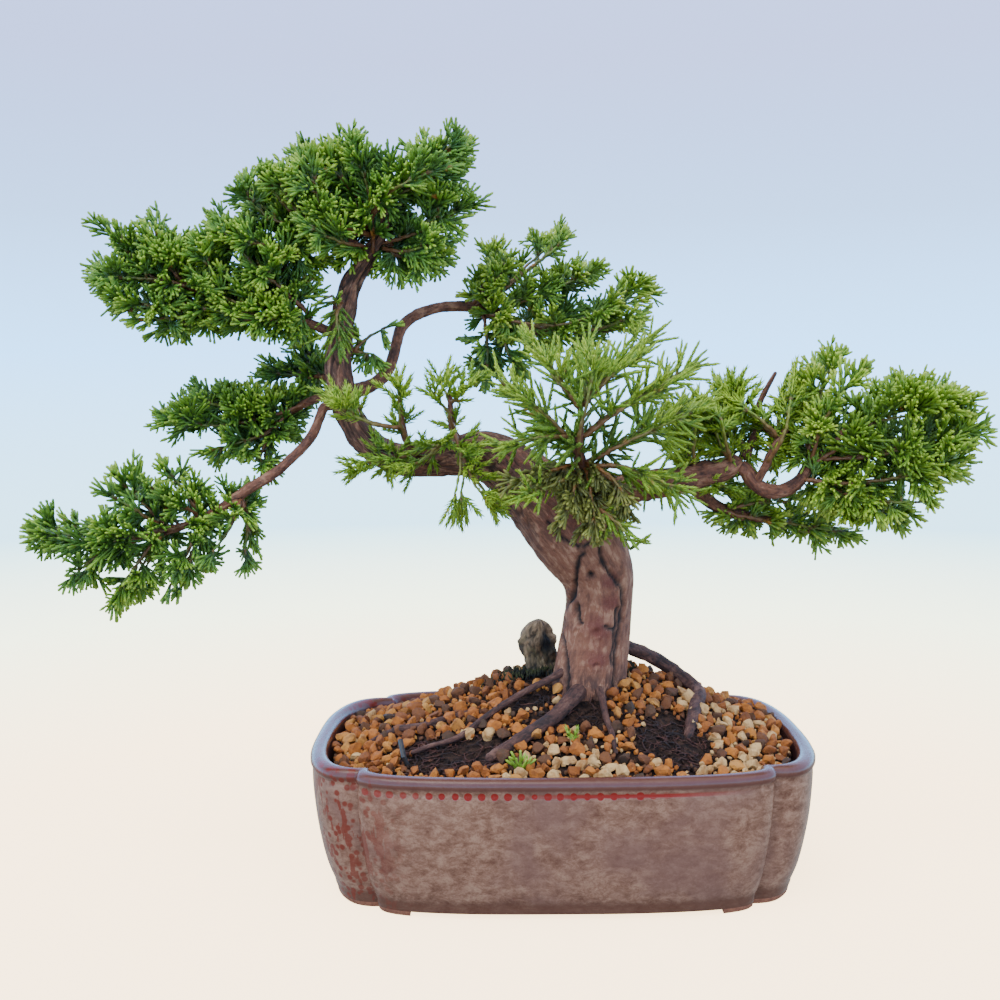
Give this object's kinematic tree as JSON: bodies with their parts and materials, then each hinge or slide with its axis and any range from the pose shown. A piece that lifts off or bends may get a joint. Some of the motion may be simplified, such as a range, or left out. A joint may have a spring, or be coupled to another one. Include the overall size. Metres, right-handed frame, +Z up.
{
  "type": "bonsai tree in a pot",
  "caption": "Small juniper bonsai with a bent trunk and layered foliage pads, rooted in gravel in a shallow glazed pot with notched corners.",
  "frame": {"origin": "on the ground, under the middle of the whole plant's bounding box", "axes": "+X to the viewer's right along the pot's long side, +Y away from the viewer, +Z up"},
  "size_m": [0.3067, 0.1214, 0.2395],
  "materials": {
    "pot_glaze": "gloss",
    "soil": "matte",
    "gravel": "matte",
    "black_plastic": "matte",
    "clip_wire": "satin",
    "trunk_bark": "matte",
    "stump_wood": "matte",
    "root_bark": "matte",
    "branch_bark": "matte",
    "scale_foliage": "matte",
    "young_foliage": "matte"
  },
  "bodies": {
    "root": {"pot": "pot_glaze", "soil": "soil", "gravel_dressing": "gravel", "drainage_mesh_left": "black_plastic", "drainage_mesh_right": "black_plastic", "mesh_clip_left": "clip_wire", "mesh_clip_right": "clip_wire", "tie_down_wire": "black_plastic", "trunk": "trunk_bark", "cut_stump": "stump_wood", "root_right_arch": "root_bark", "root_left_long": "root_bark", "root_left_thick": "root_bark", "root_far_left": "root_bark", "root_front": "root_bark", "branch_lower_left": "branch_bark", "branch_mid_left": "branch_bark", "branch_back_left": "branch_bark", "branch_top_left": "branch_bark", "branch_crown_left": "branch_bark", "branch_upper_right": "branch_bark", "branch_right": "branch_bark", "branch_front": "branch_bark", "branch_right_loop": "branch_bark", "branch_right_lower": "branch_bark", "dead_twig": "branch_bark", "twig_right_upright": "branch_bark", "twig_front_left": "branch_bark", "twig_front_mid": "branch_bark", "foliage_apex": "scale_foliage", "foliage_top_left_tip": "scale_foliage", "foliage_top_left_inner": "scale_foliage", "foliage_back_left": "scale_foliage", "foliage_mid_left": "scale_foliage", "foliage_lower_left": "scale_foliage", "foliage_upper_right": "scale_foliage", "foliage_upper_right_hanging": "scale_foliage", "foliage_right": "scale_foliage", "foliage_right_under": "scale_foliage", "foliage_leader_side": "scale_foliage", "foliage_front_centre": "young_foliage", "foliage_front_left": "young_foliage", "foliage_right_inner": "young_foliage", "foliage_trunk_spray": "young_foliage"}
  },
  "joints": []
}
